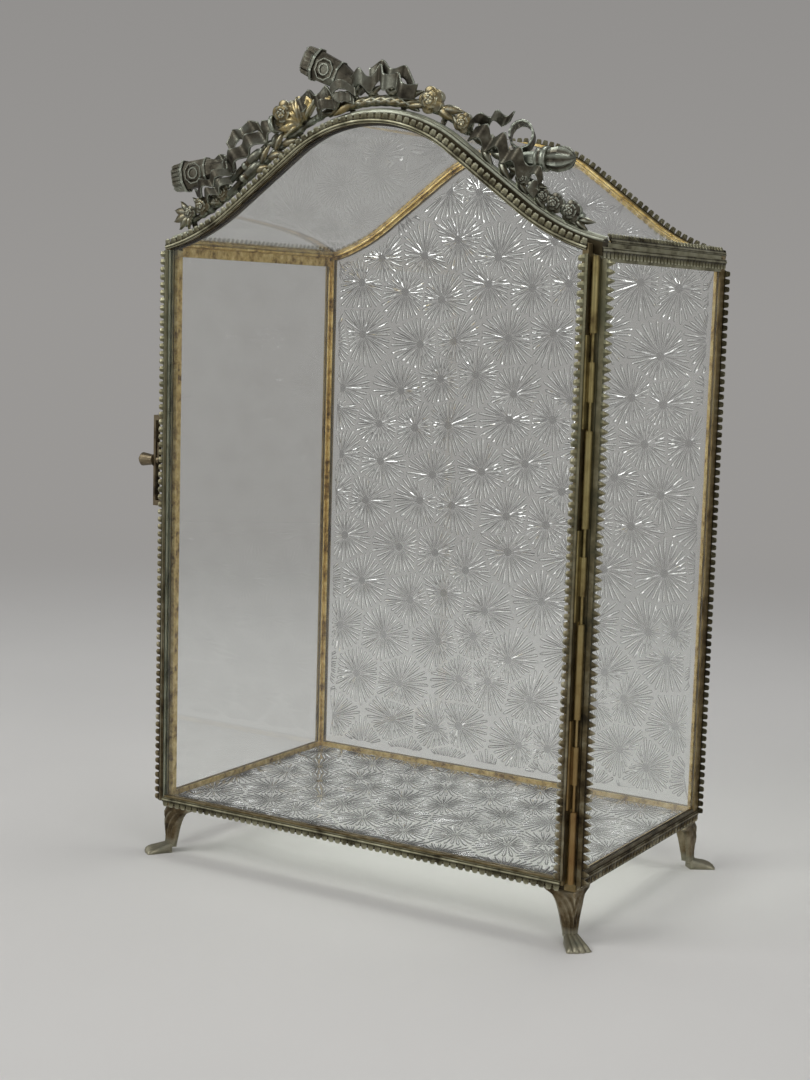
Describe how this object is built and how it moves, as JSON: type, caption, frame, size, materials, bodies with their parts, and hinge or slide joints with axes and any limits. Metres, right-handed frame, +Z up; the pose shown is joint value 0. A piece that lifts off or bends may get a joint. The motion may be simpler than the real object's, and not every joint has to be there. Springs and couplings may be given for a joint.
{
  "type": "glass display case",
  "caption": "Small table-top display case in glass and brass with an ogee roof, hinged glass door with side latch, toothed edging, trophy crest and paw feet.",
  "frame": {"origin": "centre of the case in plan, on the plane that the four feet stand on", "axes": "+Z up, +X to the viewer's right as they face the door, +Y to the back, so the door faces -Y"},
  "size_m": [0.3071, 0.1944, 0.4687],
  "materials": {
    "frame_brass": "aged, dark patina",
    "edging_brass": "aged, rubbed highlights",
    "clear_glass": "clear",
    "patterned_glass": "rolled starburst pattern",
    "crest_metal": "dark patina, rubbed edges",
    "foot_metal": "dark patina",
    "hinge_brass": "satin",
    "latch_brass": "satin"
  },
  "bodies": {
    "case": {"post_front_left": "frame_brass", "post_front_right": "frame_brass", "post_back_left": "frame_brass", "post_back_right": "frame_brass", "base_rail_left": "frame_brass", "base_rail_right": "frame_brass", "base_rail_front": "frame_brass", "base_rail_back": "frame_brass", "eave_rail_left": "frame_brass", "eave_rail_right": "frame_brass", "front_arch_rail": "frame_brass", "back_arch_rail": "frame_brass", "floor_pane": "patterned_glass", "back_pane": "patterned_glass", "left_pane": "clear_glass", "right_pane": "clear_glass", "roof_pane": "clear_glass", "edging_post_left": "edging_brass", "edging_post_right": "edging_brass", "edging_base_left": "edging_brass", "edging_base_right": "edging_brass", "edging_base_back": "edging_brass", "edging_eave_left": "edging_brass", "edging_eave_right": "edging_brass", "edging_roof_left": "edging_brass", "edging_roof_right": "edging_brass", "edging_back_left": "edging_brass", "edging_back_right": "edging_brass", "edging_back_arch": "edging_brass", "fluted_arch_strip": "edging_brass", "crest_left": "crest_metal", "crest_middle": "crest_metal", "crest_right": "crest_metal", "foot_front_left": "foot_metal", "foot_front_right": "foot_metal", "foot_back_left": "foot_metal", "foot_back_right": "foot_metal", "hinge_tubes": "hinge_brass", "hinge_pin": "hinge_brass", "latch_keeper": "latch_brass"},
    "door": {"door_arch_rail": "frame_brass", "door_stile_left": "frame_brass", "door_stile_right": "frame_brass", "door_bottom_rail": "frame_brass", "door_glass": "clear_glass", "door_edging_left": "edging_brass", "door_edging_bottom": "edging_brass", "door_edging_hinge": "edging_brass", "door_edging_arch": "edging_brass", "hinge_leaves": "hinge_brass", "latch_plate": "latch_brass"},
    "latch": {"latch_knob": "latch_brass", "latch_hook": "latch_brass"}
  },
  "joints": [
    {"name": "door_hinge", "type": "hinge", "parent": "case", "child": "door", "pos_m": [0.1352, -0.085, 0.033], "axis": [0, 0, 1], "range_deg": [0, 140]},
    {"name": "latch_turn", "type": "hinge", "parent": "door", "child": "latch", "pos_m": [-0.1445, -0.08525, 0.236], "axis": [-1, 0, 0], "range_deg": [0, 90]}
  ]
}
